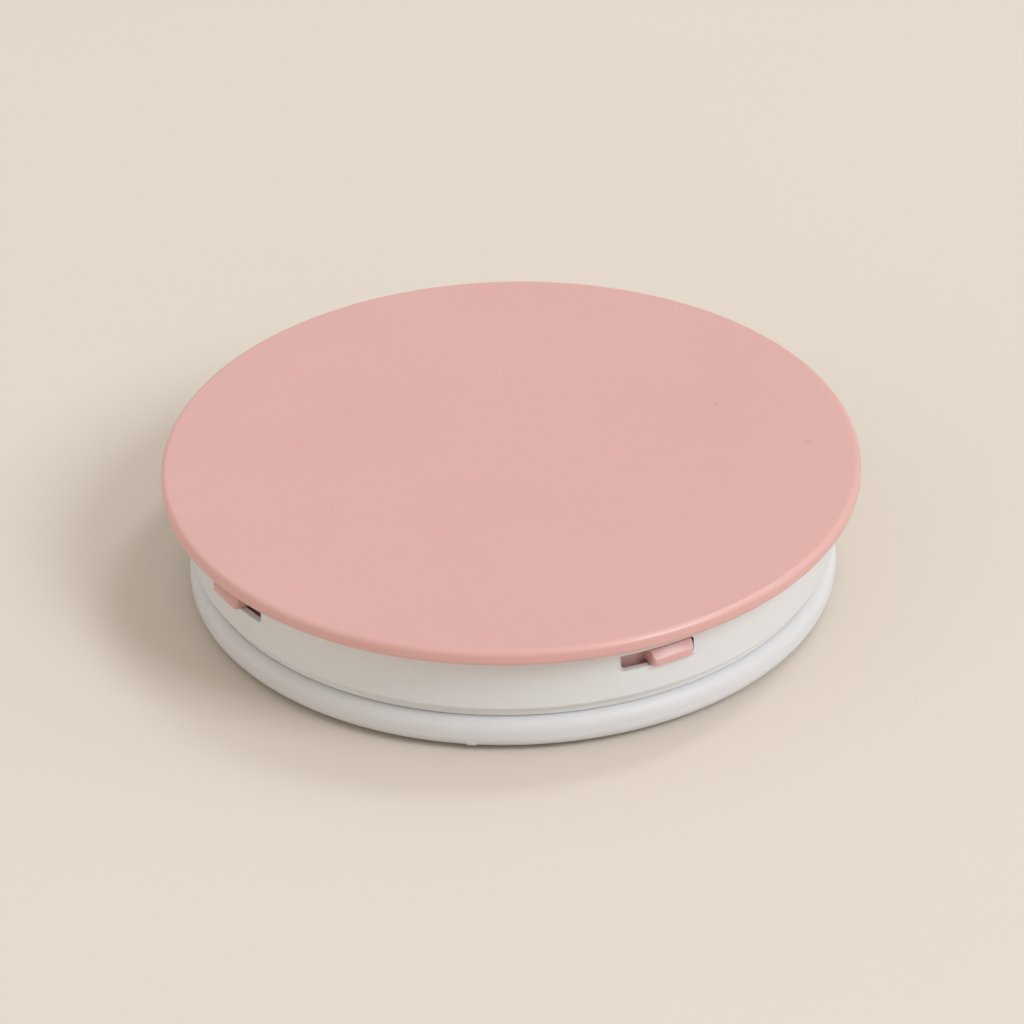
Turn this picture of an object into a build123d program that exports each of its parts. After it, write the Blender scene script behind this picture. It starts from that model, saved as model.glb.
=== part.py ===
from build123d import *
import math
import os

# Collapsible grip, collapsed. Millimetres, +Z up.
# Origin: centre of the adhesive face, on the axis of the disc.
# Azimuths are measured from -Y towards +X.

# Adhesive pad
PAD_R = 17.0
PAD_T = 0.4

# Base: plate bonded into a rounded shell
BASE_R = 18.5            # outer radius of the rim
BASE_LOW = 0.25          # underside of the rim, clear of the surface it is stuck to
BASE_TOP = 2.15          # top of the shell
BASE_POCKET_R = 17.2     # pocket for the plate
BASE_SLOT_R = 16.65      # slot that the bellows foot turns in
BASE_LIP_Z = 1.55        # underside of the lip that traps the foot
BASE_HOLE_R = 15.8       # hole that the bellows rises through
BASE_EDGE_TOP = 0.8      # rounding of the rim, upper edge
BASE_EDGE_LOW = 0.75     # rounding of the rim, lower edge
PLATE_R = 17.12
PLATE_TOP = 0.95

# Carrier cup
CAR_R = 18.4             # outer radius of the wall
CAR_IN_R = 17.75         # inner radius of the wall, upper part
CAR_FOOT_IN_R = 17.4     # inner radius of the wall, lower part
CAR_STEP = 2.8           # where the lower part ends
CAR_LOW = 2.75           # lower edge of the visible band
CAR_TOP = 6.73           # the cap seats on the wall
CAR_EDGE = 0.3           # rounding of the band's lower edge
LIP_R = 17.92            # inner lip behind the shadow groove
LIP_LOW = 2.2
FLOOR_LOW, FLOOR_TOP = 5.73, 6.23
FLOOR_HOLE_R = 9.95

# Cap
CAP_R = 20.0
CAP_LOW, CAP_TOP = 6.73, 7.73
CAP_EDGE_TOP = 0.34
CAP_EDGE_LOW = 0.38
SKIRT_IN_R, SKIRT_R = 16.8, 17.65
SKIRT_LOW = 6.33

# Snap hooks of the cap, each a tab on a leaf of the skirt, and windows of the carrier.
# The windows are cored straight along MOULD_AZ, so they lean towards it.
MOULD_AZ = -16.4
HOOK_AZ = [MOULD_AZ + 45, MOULD_AZ + 135, MOULD_AZ + 225, MOULD_AZ + 315]
HOOK_W = 2.6
HOOK_LOW, HOOK_MID, HOOK_TOP = 4.66, 5.06, 5.58    # the tip slopes back between mid and top
HOOK_TIP_R, HOOK_BACK_R = 18.8, 18.35
LEAF_W, LEAF_LOW, LEAF_R = 7.2, 3.2, 17.62
WINDOW_LOW, WINDOW_TOP = 4.6, 5.66
WINDOW_NEAR, WINDOW_FAR = 10.5, 14.0     # distance of the two ends from the coring plane
NOTCH_W = 7.7            # notches in the floor that let the leaves through
NOTCH_IN_R = 16.55
RELIEF_R, RELIEF_LOW = 18.0, 3.12        # the wall is thinned from inside round each window

# Bellows, folded: three upright rings joined by two slanted webs
FOOT_R, FOOT_LOW, FOOT_TOP = 16.55, 1.0, 1.5
HEAD_R, HEAD_LOW, HEAD_TOP = 11.6, 6.26, 6.68
FOLD_LOW, FOLD_TOP = 1.1, 5.63
WEB_RISE = 3.56          # height that each web spans
WEB_T = 0.94             # upright thickness of a web at its fold
RING1_OUT, RING1_IN = 15.6, 14.75
WEB1_OUT, WEB1_IN = 14.7, 12.7
RING2_OUT, RING2_IN = 12.6, 11.9
WEB2_OUT, WEB2_IN = 11.85, 9.85
RING3_OUT, RING3_IN = 9.75, 9.0


def section(points):
    """Closed section in the XZ plane. Each point is (radius, height, corner rounding)."""
    n = len(points)
    start, mid, end = [], [], []
    for i, (r, z, c) in enumerate(points):
        p = Vector(r, 0, z)
        if c <= 0:
            start.append(p)
            mid.append(None)
            end.append(p)
            continue
        q, s = points[i - 1], points[(i + 1) % n]
        a = (Vector(q[0], 0, q[1]) - p).normalized()
        b = (Vector(s[0], 0, s[1]) - p).normalized()
        half = math.acos(max(-1.0, min(1.0, a.dot(b)))) / 2
        run = c / math.tan(half)
        way = (a + b).normalized()
        start.append(p + a * run)
        end.append(p + b * run)
        mid.append(p + way * (c / math.sin(half) - c))
    edges = []
    for i in range(n):
        if mid[i] is not None:
            edges.append(ThreePointArc(start[i], mid[i], end[i]))
        edges.append(Line(end[i], start[(i + 1) % n]))
    return make_face(edges)


def turned(points):
    return revolve(section(points), Axis.Z, 360)


def at_azimuth(shape, azimuth):
    """Turns a shape built along +X to the given azimuth."""
    return Rot(0, 0, azimuth - 90) * shape


def block(x0, x1, y0, y1, z0, z1):
    return Pos((x0 + x1) / 2, (y0 + y1) / 2, (z0 + z1) / 2) * Box(x1 - x0, y1 - y0, z1 - z0)


# Adhesive pad: foam disc with a cut edge
adhesive_pad = turned([
    (0, 0, 0),
    (PAD_R, 0, 0),
    (PAD_R, PAD_T, 0),
    (0, PAD_T, 0),
])

# Base plate: closes the slot of the bellows foot from below
base_plate = turned([
    (0, PAD_T, 0),
    (PLATE_R, PAD_T, 0.1),
    (PLATE_R, PLATE_TOP, 0.1),
    (0, PLATE_TOP, 0),
])

# Base shell: rounded rim, seat for the plate, and the lip over the bellows foot
base_shell = turned([
    (BASE_POCKET_R, BASE_LOW, 0.1),
    (BASE_R, BASE_LOW, BASE_EDGE_LOW),
    (BASE_R, BASE_TOP, BASE_EDGE_TOP),
    (BASE_HOLE_R, BASE_TOP, 0.15),
    (BASE_HOLE_R, BASE_LIP_Z, 0.1),
    (BASE_SLOT_R, BASE_LIP_Z, 0),
    (BASE_SLOT_R, PLATE_TOP, 0),
    (BASE_POCKET_R, PLATE_TOP, 0),
])

# Bellows, one moulding
accordion = turned([
    (RING1_IN, FOOT_LOW, 0.1),
    (FOOT_R, FOOT_LOW, 0.1),
    (FOOT_R, FOOT_TOP, 0.1),
    (RING1_OUT, FOOT_TOP, 0.12),
    (RING1_OUT - 0.1, FOLD_TOP, 0.3),
    (WEB1_OUT, FOLD_TOP, 0.3),
    (WEB1_IN - 0.02, FOLD_TOP - WEB_RISE - 0.03, 0.12),
    (RING2_OUT, FOLD_TOP, 0.25),
    (WEB2_OUT, FOLD_TOP, 0.3),
    (WEB2_IN - 0.04, FOLD_TOP - WEB_RISE - 0.06, 0.12),
    (RING3_OUT, HEAD_LOW, 0.12),
    (HEAD_R, HEAD_LOW, 0.1),
    (HEAD_R, HEAD_TOP, 0.1),
    (RING3_IN, HEAD_TOP, 0.1),
    (RING3_IN, FOLD_LOW, 0.25),
    (WEB2_IN, FOLD_LOW, 0.3),
    (WEB2_OUT + 0.02, FOLD_TOP - WEB_T, 0.12),
    (RING2_IN, FOLD_LOW, 0.25),
    (WEB1_IN, FOLD_LOW, 0.3),
    (WEB1_OUT + 0.02, FOLD_TOP - WEB_T, 0.12),
])

# Carrier: wall with the shadow-groove lip, floor with the bellows hole
carrier = turned([
    (CAR_FOOT_IN_R, LIP_LOW, 0.1),
    (LIP_R, LIP_LOW, 0.06),
    (LIP_R, CAR_LOW, 0.08),
    (CAR_R, CAR_LOW, CAR_EDGE),
    (CAR_R, CAR_TOP, 0.15),
    (CAR_IN_R, CAR_TOP, 0.1),
    (CAR_IN_R, FLOOR_TOP, 0.1),
    (FLOOR_HOLE_R, FLOOR_TOP, 0.1),
    (FLOOR_HOLE_R, FLOOR_LOW, 0.1),
    (CAR_IN_R, FLOOR_LOW, 0.15),
    (CAR_IN_R, CAR_STEP + 0.3, 0.1),
    (CAR_FOOT_IN_R, CAR_STEP, 0.1),
])
core = block(9.5, 16.6, WINDOW_NEAR, WINDOW_FAR, WINDOW_LOW, WINDOW_TOP)
core = fillet(core.edges().filter_by(Axis.X), 0.18)
for turn in (0, 180):
    for side in (0, 1):
        window = mirror(core, about=Plane.XZ) if side else core
        carrier -= at_azimuth(window, MOULD_AZ + turn)
notch = turned([
    (NOTCH_IN_R, FLOOR_LOW - 0.3, 0),
    (CAR_IN_R, FLOOR_LOW - 0.3, 0),
    (CAR_IN_R, FLOOR_TOP + 0.3, 0),
    (NOTCH_IN_R, FLOOR_TOP + 0.3, 0),
]) & block(14, 20, -NOTCH_W / 2, NOTCH_W / 2, 0, 10)
relief = turned([
    (CAR_IN_R - 1, RELIEF_LOW, 0),
    (RELIEF_R, RELIEF_LOW, 0),
    (RELIEF_R, FLOOR_LOW, 0),
    (CAR_IN_R - 1, FLOOR_LOW, 0),
]) & block(14, 20, -NOTCH_W / 2, NOTCH_W / 2, 0, 10)
for azimuth in HOOK_AZ:
    carrier -= at_azimuth(notch, azimuth)
    carrier -= at_azimuth(relief, azimuth)

# Cap: disc, locating skirt and four hooks
top_cap = turned([
    (0, CAP_LOW, 0),
    (SKIRT_IN_R, CAP_LOW, 0.1),
    (SKIRT_IN_R, SKIRT_LOW, 0.1),
    (SKIRT_R, SKIRT_LOW, 0.1),
    (SKIRT_R, CAP_LOW, 0.1),
    (CAP_R, CAP_LOW, CAP_EDGE_LOW),
    (CAP_R, CAP_TOP, CAP_EDGE_TOP),
    (0, CAP_TOP, 0),
])
leaf = turned([
    (SKIRT_IN_R, LEAF_LOW, 0.15),
    (LEAF_R, LEAF_LOW, 0.15),
    (LEAF_R, CAP_LOW + 0.2, 0),
    (SKIRT_IN_R, CAP_LOW + 0.2, 0),
]) & block(14, 20, -LEAF_W / 2, LEAF_W / 2, 0, 10)
tab = extrude(
    section([
        (SKIRT_IN_R + 0.2, HOOK_LOW, 0),
        (HOOK_TIP_R, HOOK_LOW, 0.15),
        (HOOK_TIP_R, HOOK_MID, 0.25),
        (HOOK_BACK_R, HOOK_TOP, 0.1),
        (SKIRT_IN_R + 0.2, HOOK_TOP, 0),
    ]),
    amount=HOOK_W / 2,
    dir=(0, 1, 0),
    both=True,
)
for azimuth in HOOK_AZ:
    top_cap += at_azimuth(leaf, azimuth)
    top_cap += at_azimuth(tab, azimuth)

nodes = {
    "adhesive_pad": adhesive_pad,
    "base_plate": base_plate,
    "base_shell": base_shell,
    "accordion": accordion,
    "carrier": carrier,
    "top_cap": top_cap,
}

os.makedirs("parts", exist_ok=True)
for name, shape in nodes.items():
    solids = shape.solids()
    export_step(solids[0] if len(solids) == 1 else Compound(children=solids), f"parts/{name}.step")
    print(name, len(solids), round(shape.volume, 2), shape.is_valid)
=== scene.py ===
import math

import bmesh
import bpy
import numpy as np
from mathutils import Matrix, Vector


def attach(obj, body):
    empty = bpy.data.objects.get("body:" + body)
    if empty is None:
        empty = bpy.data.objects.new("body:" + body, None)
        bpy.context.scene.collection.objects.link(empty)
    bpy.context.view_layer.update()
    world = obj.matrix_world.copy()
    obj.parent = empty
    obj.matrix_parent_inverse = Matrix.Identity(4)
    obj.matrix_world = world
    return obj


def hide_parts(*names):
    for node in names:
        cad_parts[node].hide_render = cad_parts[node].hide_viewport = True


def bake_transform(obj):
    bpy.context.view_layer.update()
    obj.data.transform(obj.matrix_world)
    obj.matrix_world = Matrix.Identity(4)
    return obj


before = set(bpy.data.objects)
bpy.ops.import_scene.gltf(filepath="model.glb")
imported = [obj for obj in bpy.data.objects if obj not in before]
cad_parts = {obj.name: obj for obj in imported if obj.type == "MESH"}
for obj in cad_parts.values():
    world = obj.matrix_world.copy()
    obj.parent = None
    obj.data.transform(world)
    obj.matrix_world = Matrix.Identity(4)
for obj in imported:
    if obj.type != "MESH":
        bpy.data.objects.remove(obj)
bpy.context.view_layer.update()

MM = 0.001
SEG = 320                 # facets round the axis
MOULD_AZ = -16.4          # coring direction of the cup, degrees from -Y towards +X
HOOK_AZ = [MOULD_AZ + a for a in (45, 135, 225, 315)]


# ---------------------------------------------------------------- mesh tools

def rounded(points, step=11.0, support=0.05):
    """Section points (radius, height, corner rounding) to a smooth list of (radius, height)."""
    n = len(points)
    out = []
    corner = []
    for i, (r, z, c) in enumerate(points):
        p = np.array((r, z), float)
        if c <= 0:
            corner.append((p, p, None, 0.0))
            continue
        a = np.array(points[i - 1][:2], float) - p
        b = np.array(points[(i + 1) % n][:2], float) - p
        a /= np.linalg.norm(a)
        b /= np.linalg.norm(b)
        half = math.acos(max(-1.0, min(1.0, float(a @ b)))) / 2
        run = c / math.tan(half)
        way = (a + b) / np.linalg.norm(a + b)
        corner.append((p + a * run, p + b * run, p + way * (c / math.sin(half)), c))
    for i in range(n):
        start, end, centre, c = corner[i]
        if centre is None:
            out.append(tuple(start))
        else:
            a0 = math.atan2(*(start - centre)[::-1])
            a1 = math.atan2(*(end - centre)[::-1])
            turn = (a1 - a0 + math.pi) % (2 * math.pi) - math.pi
            k = max(2, math.ceil(abs(math.degrees(turn)) / step))
            for j in range(k + 1):
                t = a0 + turn * j / k
                out.append((centre[0] + c * math.cos(t), centre[1] + c * math.sin(t)))
        nxt = corner[(i + 1) % n][0]
        run = np.linalg.norm(nxt - end)
        if run > 4 * support:
            d = (nxt - end) / run
            out.append(tuple(end + d * support))
            out.append(tuple(nxt - d * support))
    clean = []
    for p in out:
        if not clean or math.dist(p, clean[-1]) > 1e-5:
            clean.append(p)
    if math.dist(clean[0], clean[-1]) < 1e-5:
        clean.pop()
    return clean


def azimuths(extra=()):
    """Even azimuths in degrees, with extra ones where a fine line runs."""
    a = [360.0 * i / SEG for i in range(SEG)]
    for e in extra:
        e %= 360
        a = [x for x in a if min(abs(x - e), 360 - abs(x - e)) > 0.03] + [e]
    return sorted(a)


def turned(name, section, extra=()):
    """Mesh turned about Z. A section point on the axis becomes one vertex."""
    az = np.radians(azimuths(extra))
    s, c = np.sin(az), -np.cos(az)
    verts, rings = [], []
    for r, z in section:
        if r < 1e-6:
            rings.append([len(verts)])
            verts.append((0.0, 0.0, z * MM))
        else:
            rings.append(list(range(len(verts), len(verts) + len(az))))
            verts += [(r * MM * x, r * MM * y, z * MM) for x, y in zip(s, c)]
    faces = []
    m, k = len(az), len(rings)
    for i in range(k):
        a, b = rings[i], rings[(i + 1) % k]
        if len(a) == 1 and len(b) == 1:
            continue
        for j in range(m):
            q = (j + 1) % m
            if len(a) == 1:
                faces.append((a[0], b[j], b[q]))
            elif len(b) == 1:
                faces.append((a[j], b[0], a[q]))
            else:
                faces.append((a[j], b[j], b[q], a[q]))
    return mesh_object(name, verts, faces)


def sector(name, section, half_width, steps=14):
    """Closed piece of a turned section round +X, cut square at half_width to each side."""
    verts, faces = [], []
    n = len(section)
    for i in range(steps + 1):
        y = half_width * (2 * i / steps - 1)
        for r, z in section:
            verts.append((math.sqrt(r * r - y * y) * MM, y * MM, z * MM))
    for i in range(steps):
        for j in range(n):
            a, b = i * n + j, i * n + (j + 1) % n
            faces.append((a, b, b + n, a + n))
    faces += [tuple(range(n)), tuple(range((steps + 1) * n - 1, steps * n - 1, -1))]
    return mesh_object(name, verts, faces)


def mesh_object(name, verts, faces):
    me = bpy.data.meshes.new(name)
    me.from_pydata(verts, [], faces)
    bm = bmesh.new()
    bm.from_mesh(me)
    bmesh.ops.recalc_face_normals(bm, faces=bm.faces)
    bm.to_mesh(me)
    bm.free()
    ob = bpy.data.objects.new(name, me)
    bpy.context.collection.objects.link(ob)
    return ob


def prism(name, outline, half, frame_axes):
    """Closed prism: outline (a, b) in mm, swept from -half to half along the third axis."""
    ax, bx, cx = (Vector(v) for v in frame_axes)
    verts = []
    n = len(outline)
    for w in (-half, half):
        for a, b in outline:
            verts.append(tuple((ax * a + bx * b + cx * w) * MM))
    faces = [tuple(range(n)), tuple(range(2 * n - 1, n - 1, -1))]
    faces += [(i, (i + 1) % n, n + (i + 1) % n, n + i) for i in range(n)]
    return mesh_object(name, verts, faces)


def cut(ob, other, how):
    """Exact boolean, worked in millimetres and applied, and the other object removed."""
    for mesh in (ob.data, other.data):
        mesh.transform(Matrix.Scale(1 / MM, 4))
    m = ob.modifiers.new("cut", "BOOLEAN")
    m.operation, m.solver, m.object = how, "EXACT", other
    dg = bpy.context.evaluated_depsgraph_get()
    dg.update()
    me = bpy.data.meshes.new_from_object(ob.evaluated_get(dg))
    ob.modifiers.clear()
    me.transform(Matrix.Scale(MM, 4))
    old = ob.data
    ob.data = me
    bpy.data.meshes.remove(old)
    bpy.data.objects.remove(other)


def smooth(ob, angle=40):
    ob.data.shade_smooth()
    ob.data.set_sharp_from_angle(angle=math.radians(angle))


def wall_normals(ob, radius, low, high):
    """Exact outward normals on a plain round wall, so that what is cut into it doesn't bend its shading."""
    me = ob.data
    normals = [Vector(n.vector) for n in me.corner_normals]
    for poly in me.polygons:
        for i in poly.loop_indices:
            co = me.vertices[me.loops[i].vertex_index].co
            r = math.hypot(co.x, co.y)
            if abs(r - radius * MM) < 3e-6 and low * MM < co.z < high * MM:
                out = Vector((co.x / r, co.y / r, 0.0))
                if poly.normal.dot(out) > 0.5:
                    normals[i] = out
    me.normals_split_custom_set(normals)


def turn_about_z(ob, azimuth):
    """Turns a mesh built along +X to an azimuth, in its mesh data."""
    ob.data.transform(Matrix.Rotation(math.radians(azimuth - 90), 4, "Z"))


def bevel_edges(ob, pick, width, segments=2):
    bm = bmesh.new()
    bm.from_mesh(ob.data)
    bm.normal_update()
    edges = [e for e in bm.edges if len(e.link_faces) == 2 and pick(e)]
    bmesh.ops.bevel(bm, geom=edges, offset=width * MM, segments=segments, profile=0.5, affect="EDGES", clamp_overlap=True)
    bm.to_mesh(ob.data)
    bm.free()


# ---------------------------------------------------------------- node tools

class Tree:
    """Small helper round a material's node tree."""

    def __init__(self, name):
        self.mat = bpy.data.materials.new(name)
        self.mat.use_nodes = True
        self.nt = self.mat.node_tree
        self.p = self.nt.nodes["Principled BSDF"]
        self.coord = self.nt.nodes.new("ShaderNodeTexCoord").outputs["Object"]

    def node(self, kind, **props):
        n = self.nt.nodes.new(kind)
        for k, v in props.items():
            setattr(n, k, v)
        return n

    def link(self, a, b):
        self.nt.links.new(a, b)

    def noise(self, size_mm, detail=2.0, rough=0.5, lacunarity=2.0, vector=None):
        n = self.node("ShaderNodeTexNoise")
        n.inputs["Scale"].default_value = 1.0 / (size_mm * MM)
        n.inputs["Detail"].default_value = detail
        n.inputs["Roughness"].default_value = rough
        n.inputs["Lacunarity"].default_value = lacunarity
        self.link(vector or self.coord, n.inputs["Vector"])
        return n.outputs["Fac"]

    def cells(self, size_mm, feature="F1", vector=None):
        n = self.node("ShaderNodeTexVoronoi", feature=feature)
        n.inputs["Scale"].default_value = 1.0 / (size_mm * MM)
        self.link(vector or self.coord, n.inputs["Vector"])
        return n.outputs["Distance"]

    def ramp(self, value, lo, hi, out_lo=0.0, out_hi=1.0, smoothstep=False):
        n = self.node("ShaderNodeMapRange", interpolation_type="SMOOTHSTEP" if smoothstep else "LINEAR")
        n.inputs["From Min"].default_value = lo
        n.inputs["From Max"].default_value = hi
        n.inputs["To Min"].default_value = out_lo
        n.inputs["To Max"].default_value = out_hi
        self.link(value, n.inputs["Value"])
        return n.outputs["Result"]

    def math(self, op, a, b=None):
        n = self.node("ShaderNodeMath", operation=op)
        for i, v in enumerate((a, b)):
            if v is None:
                continue
            if isinstance(v, (int, float)):
                n.inputs[i].default_value = v
            else:
                self.link(v, n.inputs[i])
        return n.outputs[0]

    def mix(self, fac, a, b, blend="MIX"):
        n = self.node("ShaderNodeMix", data_type="RGBA", blend_type=blend)
        for sock, v in ((n.inputs["Factor"], fac), (n.inputs["A"], a), (n.inputs["B"], b)):
            if isinstance(v, (int, float)):
                sock.default_value = v
            elif isinstance(v, tuple):
                sock.default_value = (*v, 1.0)
            else:
                self.link(v, sock)
        return n.outputs["Result"]

    def xyz(self):
        n = self.node("ShaderNodeSeparateXYZ")
        self.link(self.coord, n.inputs[0])
        return n.outputs

    def bump(self, height, depth_mm, strength=1.0, under=None):
        n = self.node("ShaderNodeBump")
        n.inputs["Strength"].default_value = strength
        n.inputs["Distance"].default_value = depth_mm * MM
        self.link(height, n.inputs["Height"])
        if under is not None:
            self.link(under, n.inputs["Normal"])
        return n.outputs["Normal"]

    def finish(self, colour, roughness, normal=None):
        self.link(colour, self.p.inputs["Base Color"])
        self.link(roughness, self.p.inputs["Roughness"])
        if normal is not None:
            self.link(normal, self.p.inputs["Normal"])
        return self.mat


def moulded(name, colour, tone, rough, grain_mm, grain_depth, subsurface, spec=0.5, specks=()):
    """Moulded plastic: slow colour drift, fine speckle, spark-eroded grain, slow waviness and rubbed patches."""
    t = Tree(name)
    drift = t.noise(9.0, 3.0, 0.55)
    speck = t.noise(0.35, 2.0, 0.6)
    c = t.mix(t.ramp(drift, 0.35, 0.65, 0.0, 1.0), colour, tone)
    c = t.mix(t.ramp(speck, 0.30, 0.70, 0.0, 0.16), c, tuple(x * 0.86 for x in colour))
    for x, y, z, size, fade in specks:
        n = t.node("ShaderNodeVectorMath", operation="DISTANCE")
        n.inputs[1].default_value = (x * MM, y * MM, z * MM)
        t.link(t.coord, n.inputs[0])
        c = t.mix(t.ramp(n.outputs["Value"], 0.2 * size * MM, size * MM, fade, 0.0, True), c, tuple(x * 0.72 for x in colour))
    rub = t.noise(4.0, 4.0, 0.65)
    r = t.ramp(rub, 0.3, 0.7, rough - 0.03, rough + 0.05)
    fine = t.noise(grain_mm, 3.0, 0.62)
    wave = t.noise(6.0, 1.0, 0.5)
    n = t.bump(wave, 0.01, 0.35)
    n = t.bump(fine, grain_depth, 0.8, n)
    t.p.inputs["Specular IOR Level"].default_value = spec
    t.p.inputs["Subsurface Weight"].default_value = subsurface
    t.p.inputs["Subsurface Radius"].default_value = (0.0012, 0.0006, 0.0005)
    t.p.inputs["Subsurface Scale"].default_value = 1.0
    return t.finish(c, r, n)


# marks on the face: place, radius, strength
SPECKS = [(11.83, 5.76, 7.73, 0.22, 0.5), (17.03, 1.62, 7.73, 0.25, 0.55)]
pink = moulded("pink_plastic", (0.664, 0.383, 0.356), (0.680, 0.395, 0.368), 0.32, 0.13, 0.002, 0.28, 0.75, SPECKS)
white_cup = moulded("white_cup_plastic", (0.715, 0.712, 0.712), (0.730, 0.728, 0.729), 0.48, 0.14, 0.003, 0.06)
white_base = moulded("white_base_plastic", (0.680, 0.680, 0.686), (0.695, 0.696, 0.704), 0.46, 0.14, 0.003, 0.06)
soft_white = moulded("soft_white_plastic", (0.790, 0.775, 0.750), (0.812, 0.798, 0.776), 0.50, 0.10, 0.004, 0.20)


def foam():
    t = Tree("foam_tape")
    cells = t.cells(0.16)
    big = t.noise(2.5, 3.0, 0.6)
    c = t.mix(t.ramp(cells, 0.1, 0.8), (0.50, 0.51, 0.52), (0.60, 0.61, 0.62))
    c = t.mix(t.ramp(big, 0.35, 0.65, 0.0, 0.25), c, (0.56, 0.55, 0.53))
    n = t.bump(cells, 0.03, 0.7)
    return t.finish(c, t.ramp(big, 0.3, 0.7, 0.62, 0.8), n)


foam_tape = foam()


# ---------------------------------------------------------------- pieces

def dress(ob, node, body, material):
    ob.data.materials.clear()
    ob.data.materials.append(material)
    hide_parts(node)
    if body:
        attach(ob, body)
    return ob


# cap: disc with a rounded edge, locating skirt, four leaves with snap tabs, all one moulding
cap = turned("cap_disc", rounded([
    (0, 6.73, 0),
    (16.8, 6.73, 0.1),
    (16.8, 6.33, 0.1),
    (17.65, 6.33, 0.1),
    (17.65, 6.73, 0.1),
    (20.0, 6.73, 0.38),
    (20.0, 7.73, 0.34),
    (0, 7.73, 0),
]))


def end_edge(half):
    return lambda e: (
        e.calc_face_angle() > math.radians(60)
        and abs(e.verts[0].co.y - e.verts[1].co.y) < 1e-8
        and abs(abs(e.verts[0].co.y) - half * MM) < 1e-7
    )


def rim_edge(e):
    return all(v.co.x > 17.6 * MM for v in e.verts) and e.calc_face_angle() > math.radians(50)


for azimuth in HOOK_AZ:
    leaf = sector("leaf", rounded([
        (16.86, 3.2, 0.12), (17.6, 3.2, 0.12), (17.6, 6.5, 0), (16.86, 6.5, 0),
    ], step=18), 3.6)
    bevel_edges(leaf, end_edge(3.6), 0.08, 2)
    turn_about_z(leaf, azimuth)
    tab = prism("tab", rounded([
        (17.0, 4.66, 0), (18.8, 4.66, 0.15), (18.8, 5.06, 0.25), (18.35, 5.58, 0.1), (17.0, 5.58, 0),
    ], step=7, support=0.04), 1.4, ((1, 0, 0), (0, 0, 1), (0, 1, 0)))
    plan = prism("plan", rounded([
        (16.9, -1.3, 0), (18.8, -1.3, 0.3), (18.8, 1.3, 0.3), (16.9, 1.3, 0),
    ], step=9, support=0.04), 1.0, ((1, 0, 0), (0, 1, 0), (0, 0, 1)))
    plan.data.transform(Matrix.Translation((0, 0, 5.1 * MM)))
    cut(tab, plan, "INTERSECT")
    bevel_edges(tab, rim_edge, 0.05, 2)
    turn_about_z(tab, azimuth)
    cut(leaf, tab, "UNION")
    cut(cap, leaf, "UNION")
smooth(cap)
dress(cap, "top_cap", "top", pink)

# cup: wall over the shadow groove, floor with the bellows hole, cored windows, hook notches
SEAM_AZ = MOULD_AZ - 1.6
SEAM = (-0.36, -0.24, -0.12, 0.0, 0.12, 0.24, 0.36)
cup = turned("cup", rounded([
    (17.4, 2.2, 0.1),
    (17.92, 2.2, 0.06),
    (17.92, 2.75, 0.08),
    (18.4, 2.75, 0.3),
    (18.4, 6.73, 0.15),
    (17.75, 6.73, 0.1),
    (17.75, 6.23, 0.1),
    (9.95, 6.23, 0.1),
    (9.95, 5.73, 0.1),
    (17.75, 5.73, 0.15),
    (17.75, 3.1, 0.1),
    (17.4, 2.8, 0.1),
]), [SEAM_AZ + t + d for t in (0, 180) for d in SEAM])

# witness line of the split mould: a low ridge up the outside, close to the coring plane
for v in cup.data.vertices:
    r = math.hypot(v.co.x, v.co.y) / MM
    if r > 17.87 and v.co.z > 2.25 * MM:
        az = math.degrees(math.atan2(v.co.x, -v.co.y)) - SEAM_AZ
        off = abs((az + 90) % 180 - 90)
        if off < 0.35:
            rise = 0.036 * math.cos(off / 0.36 * math.pi / 2) ** 2
            v.co.x *= 1 + rise / r
            v.co.y *= 1 + rise / r

for azimuth in HOOK_AZ:
    notch = sector("notch", [
        (17.2, 3.12), (18.0, 3.12), (18.0, 5.72), (17.79, 5.72), (17.79, 6.53), (16.55, 6.53), (16.55, 5.43), (17.2, 5.43),
    ], 3.85)
    turn_about_z(notch, azimuth)
    cut(cup, notch, "DIFFERENCE")
for turn in (0, 180):
    for side in (1, -1):
        core = prism("core", rounded([
            (10.5, 4.6, 0.18), (14.0, 4.6, 0.18), (14.0, 5.66, 0.18), (10.5, 5.66, 0.18),
        ], step=15, support=0.06), 3.6, ((0, side, 0), (0, 0, 1), (1, 0, 0)))
        core.data.transform(Matrix.Translation((13.1 * MM, 0, 0)))
        turn_about_z(core, MOULD_AZ + turn)
        cut(cup, core, "DIFFERENCE")


def mouth(e):
    mid = (e.verts[0].co + e.verts[1].co) / 2
    on_wall = all(abs(math.hypot(v.co.x, v.co.y) - 18.4 * MM) < 4e-6 for v in e.verts)
    return on_wall and 4.5 * MM < mid.z < 5.75 * MM and e.calc_face_angle() > math.radians(30)


bevel_edges(cup, mouth, 0.05, 2)
smooth(cup)
wall_normals(cup, 18.4, 3.0, 6.63)
dress(cup, "carrier", "top", white_cup)

# base shell: rounded rim, seat for the plate, and the lip over the bellows foot
GATE_AZ = -8.1
shell = turned("base_rim", rounded([
    (17.2, 0.25, 0.1),
    (18.5, 0.25, 0.75),
    (18.5, 2.15, 0.8),
    (15.8, 2.15, 0.15),
    (15.8, 1.55, 0.1),
    (16.65, 1.55, 0),
    (16.65, 0.95, 0),
    (17.2, 0.95, 0),
]), [GATE_AZ + 0.15 * d for d in range(-7, 8)])

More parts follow.
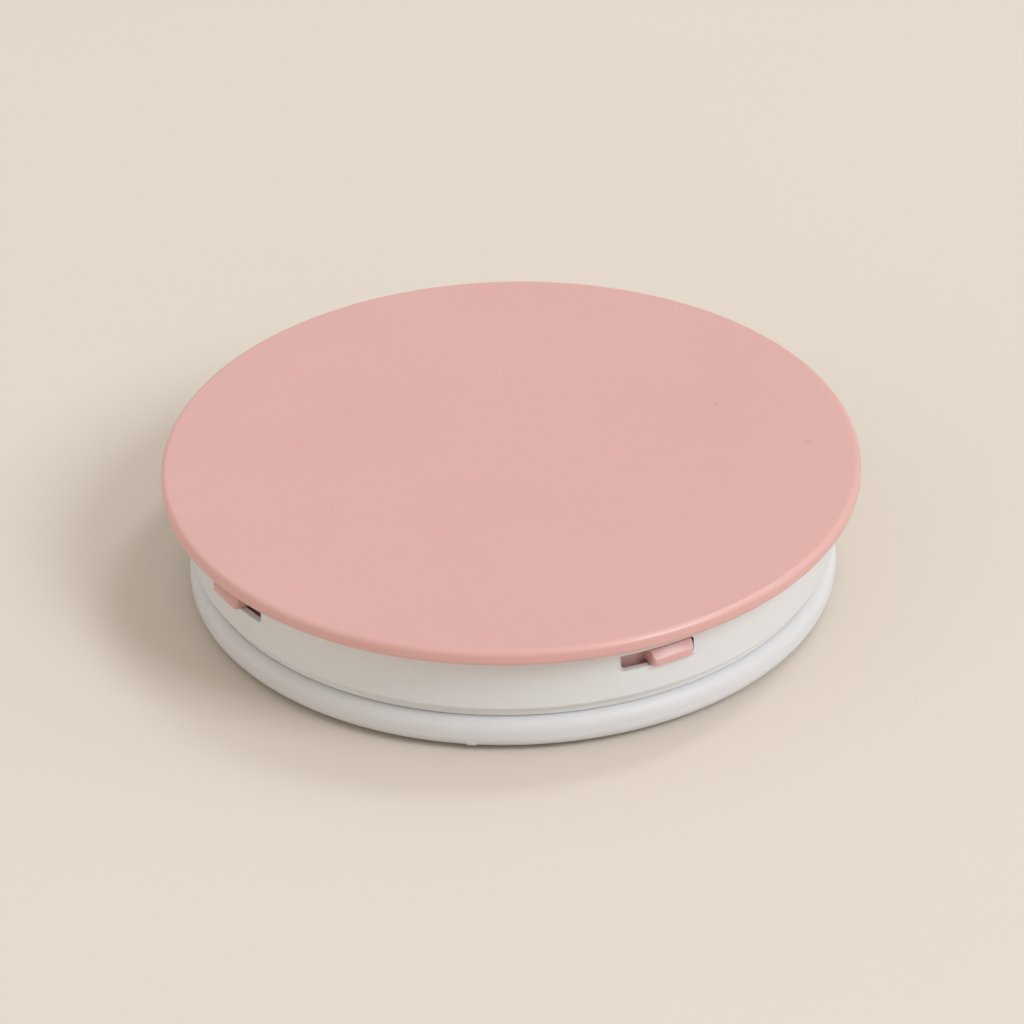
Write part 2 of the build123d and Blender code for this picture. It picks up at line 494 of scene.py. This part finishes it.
# trimmed gate on the lower edge of the rim
for v in shell.data.vertices:
    r = math.hypot(v.co.x, v.co.y) / MM
    z = v.co.z / MM
    off = abs(math.degrees(math.atan2(v.co.x, -v.co.y)) - GATE_AZ)
    if off < 1.0 and r > 17.9 and z < 0.75:
        rise = 0.07 * min(1.0, (1.0 - off) / 0.3) * min(1.0, max(0.0, (0.75 - z) / 0.2))
        v.co.x *= 1 + rise / r
        v.co.y *= 1 + rise / r
        v.co.z -= 0.5 * rise * MM
smooth(shell)
dress(shell, "base_shell", "base", white_base)

# base plate
plate = turned("base_disc", rounded([
    (0, 0.4, 0),
    (17.12, 0.4, 0.1),
    (17.12, 0.95, 0.1),
    (0, 0.95, 0),
]))
smooth(plate)
dress(plate, "base_plate", "base", white_base)

# adhesive pad
pad = turned("adhesive_disc", rounded([
    (0, 0, 0),
    (17.0, 0, 0.04),
    (17.0, 0.4, 0.04),
    (0, 0.4, 0),
]))
smooth(pad)
dress(pad, "adhesive_pad", "base", foam_tape)

# bellows: three rings and two webs, at rest; share sets, by radius, each point's part of the top's motion
FOLD_TOP, WEB_RISE, WEB_T = 5.63, 3.56, 0.94
bellows = turned("bellows", rounded([
    (14.75, 1.0, 0.1),
    (16.55, 1.0, 0.1),
    (16.55, 1.5, 0.1),
    (15.6, 1.5, 0.12),
    (15.5, FOLD_TOP, 0.3),
    (14.7, FOLD_TOP, 0.3),
    (12.68, FOLD_TOP - WEB_RISE - 0.03, 0.12),
    (12.6, FOLD_TOP, 0.25),
    (11.85, FOLD_TOP, 0.3),
    (9.81, FOLD_TOP - WEB_RISE - 0.06, 0.12),
    (9.75, 6.26, 0.12),
    (11.6, 6.26, 0.1),
    (11.6, 6.68, 0.1),
    (9.0, 6.68, 0.1),
    (9.0, 1.1, 0.25),
    (9.85, 1.1, 0.3),
    (11.87, FOLD_TOP - WEB_T, 0.12),
    (11.9, 1.1, 0.25),
    (12.7, 1.1, 0.3),
    (14.72, FOLD_TOP - WEB_T, 0.12),
]))
smooth(bellows, 60)
dress(bellows, "accordion", None, soft_white)
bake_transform(bellows)
co = np.zeros(len(bellows.data.vertices) * 3)
bellows.data.vertices.foreach_get("co", co)
co = co.reshape(-1, 3) / MM
radius, height = np.hypot(co[:, 0], co[:, 1]), co[:, 2]
share = np.interp(radius, [9.85, 11.85, 12.7, 14.7], [1.0, 0.5, 0.5, 0.0])
share[height > 5.95] = 1.0


# ---------------------------------------------------------------- floor, light, camera

def plain_floor():
    t = Tree("pale_floor")
    big = t.noise(90.0, 3.0, 0.5)
    fine = t.noise(0.8, 2.0, 0.5)
    c = t.mix(t.ramp(big, 0.3, 0.7), (0.690, 0.622, 0.540), (0.705, 0.638, 0.556))
    return t.finish(c, t.ramp(fine, 0.3, 0.7, 0.62, 0.7))


bpy.ops.mesh.primitive_plane_add(size=6.0, location=(0, 0, 0))
floor = bpy.context.object
floor.name = "floor"
floor.data.materials.append(plain_floor())

world = bpy.data.worlds.new("studio")
bpy.context.scene.world = world
world.use_nodes = True
wt = world.node_tree
sky = wt.nodes["Background"]
sky.inputs["Color"].default_value = (1.0, 0.945, 0.885, 1.0)
coord = wt.nodes.new("ShaderNodeTexCoord")
lean = wt.nodes.new("ShaderNodeVectorMath")
lean.operation = "DOT_PRODUCT"
lean.inputs[1].default_value = (-0.03, 0.0, 0.15)     # brighter overhead, a little more on the left
lift = wt.nodes.new("ShaderNodeMath")
lift.operation = "ADD"
lift.inputs[1].default_value = 0.60
wt.links.new(coord.outputs["Generated"], lean.inputs[0])
wt.links.new(lean.outputs["Value"], lift.inputs[0])
wt.links.new(lift.outputs[0], sky.inputs["Strength"])


def softbox(name, azimuth, elevation, distance, size, power, colour=(1, 1, 1)):
    """Area light, (width, height), that faces the object; azimuth from -Y towards +X."""
    a, e = math.radians(azimuth), math.radians(elevation)
    where = Vector((math.sin(a) * math.cos(e), -math.cos(a) * math.cos(e), math.sin(e))) * distance
    data = bpy.data.lights.new(name, "AREA")
    data.shape = "RECTANGLE"
    data.size, data.size_y = size
    data.energy = power
    data.color = colour
    ob = bpy.data.objects.new(name, data)
    ob.location = where
    ob.rotation_euler = (-where).to_track_quat("-Z", "Y").to_euler()
    bpy.context.collection.objects.link(ob)
    return ob


softbox("key", 54, 42, 1.5, (0.6, 0.6), 10.0, (0.94, 1.0, 1.07))
softbox("side", 92, 22, 1.5, (0.7, 0.5), 1.6, (0.97, 1.0, 1.04))
softbox("back", 128, 60, 1.5, (0.2, 0.45), 3.2, (0.97, 1.0, 1.04))
softbox("fill", -70, 25, 1.5, (0.9, 0.7), 1.0, (1.0, 0.95, 0.88))

ZOOM = 2.5
ELEVATION, ROLL, DISTANCE = math.radians(32.4), math.radians(1.3), 0.89
target = Vector((0, 0, 4.4 * MM))
back = Vector((0, -math.cos(ELEVATION), math.sin(ELEVATION)))
right = Vector((1, 0, 0))
up = back.cross(right)
turned_right = right * math.cos(ROLL) - up * math.sin(ROLL)
turned_up = right * math.sin(ROLL) + up * math.cos(ROLL)
camera = bpy.data.objects.new("camera", bpy.data.cameras.new("camera"))
pose = Matrix((turned_right, turned_up, back)).transposed().to_4x4()
pose.translation = target + back * DISTANCE
camera.matrix_world = pose
camera.data.sensor_width = 36.0
camera.data.lens = 218.8 * ZOOM
camera.data.clip_start = 0.01
camera.data.clip_end = 20.0
bpy.context.collection.objects.link(camera)
bpy.context.scene.camera = camera
bpy.context.scene.view_settings.view_transform = "Standard"

bpy.context.view_layer.update()
